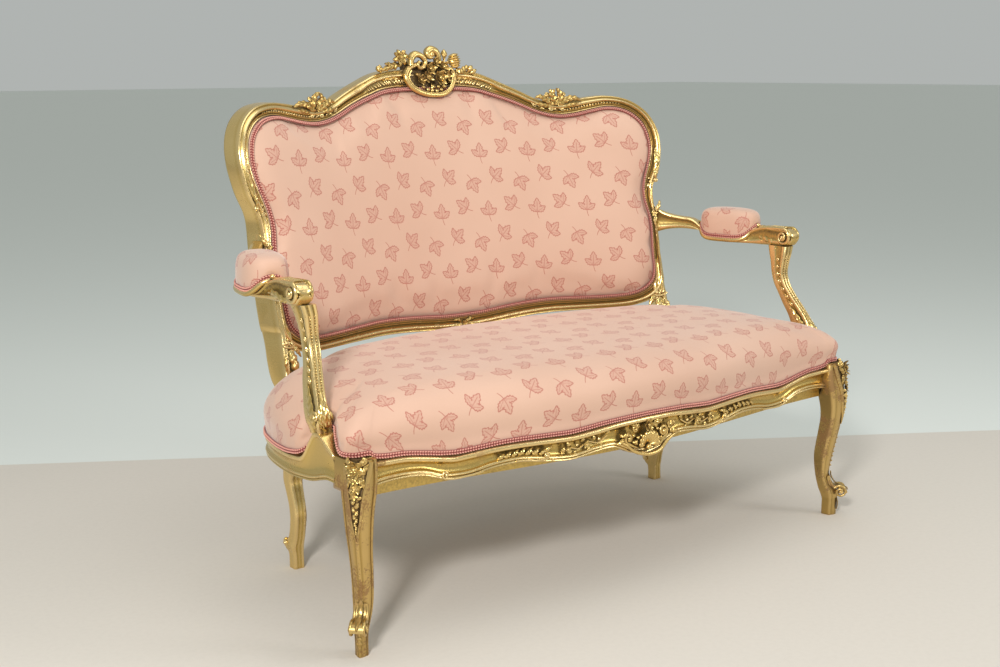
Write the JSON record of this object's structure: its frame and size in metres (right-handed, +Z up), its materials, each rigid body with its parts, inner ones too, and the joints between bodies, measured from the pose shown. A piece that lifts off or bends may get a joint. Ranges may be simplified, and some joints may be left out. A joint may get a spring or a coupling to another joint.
{
  "type": "cabriole sofa",
  "caption": "Carved and gilded settee of cabriole form with a shaped, bowed back, open arms with padded rests, a sprung upholstered seat and scrolled cabriole legs.",
  "frame": {"origin": "on the floor, under the middle of the whole settee", "axes": "+X to the right of someone looking at the front, the front faces -Y, +Z up"},
  "size_m": [1.3798, 0.81, 1.077],
  "materials": {
    "gilded_frame": "worn water gilding over carved beech",
    "gilded_carving": "worn water gilding with dark recesses",
    "bare_beech": "bare aged beech",
    "cover_fabric": "pale salmon satin with woven rose leaf sprigs",
    "gimp_braid": "rose braid",
    "stuffing": "hair and wadding",
    "jute_webbing": "woven jute",
    "hessian": "plain weave",
    "spring_steel": "dull coppered wire",
    "screw_steel": "dull",
    "twine": "laid cord"
  },
  "bodies": {
    "root": {"apron_cartouche": "gilded_carving", "arm_dowels": "bare_beech", "arm_left": "gilded_frame", "arm_pad_cover_left": "cover_fabric", "arm_pad_cover_right": "cover_fabric", "arm_pad_gimp_left": "gimp_braid", "arm_pad_gimp_right": "gimp_braid", "arm_pad_stuffing_left": "stuffing", "arm_pad_stuffing_right": "stuffing", "arm_right": "gilded_frame", "arm_support_left": "gilded_frame", "arm_support_right": "gilded_frame", "back_bottom_rail": "gilded_frame", "back_cover": "cover_fabric", "back_gimp": "gimp_braid", "back_hessian": "hessian", "back_rail_flower": "gilded_carving", "back_seat_rail": "bare_beech", "back_stuffing": "stuffing", "back_webbing": "jute_webbing", "corner_block_screws": "screw_steel", "corner_blocks": "bare_beech", "crest_cartouche": "gilded_carving", "crest_dowels": "bare_beech", "crest_rail": "gilded_frame", "front_leg_left": "gilded_frame", "front_leg_right": "gilded_frame", "front_seat_rail": "gilded_frame", "knee_carving_left": "gilded_carving", "knee_carving_right": "gilded_carving", "outside_back_cover": "cover_fabric", "outside_back_gimp": "gimp_braid", "rear_upright_left": "gilded_frame", "rear_upright_right": "gilded_frame", "seat_cover": "cover_fabric", "seat_gimp": "gimp_braid", "seat_hessian": "hessian", "seat_springs": "spring_steel", "seat_stuffing": "stuffing", "seat_webbing_long": "jute_webbing", "seat_webbing_short": "jute_webbing", "shoulder_spray_left": "gilded_carving", "shoulder_spray_right": "gilded_carving", "side_seat_rail_left": "gilded_frame", "side_seat_rail_right": "gilded_frame", "spring_lashing": "twine"}
  },
  "joints": []
}
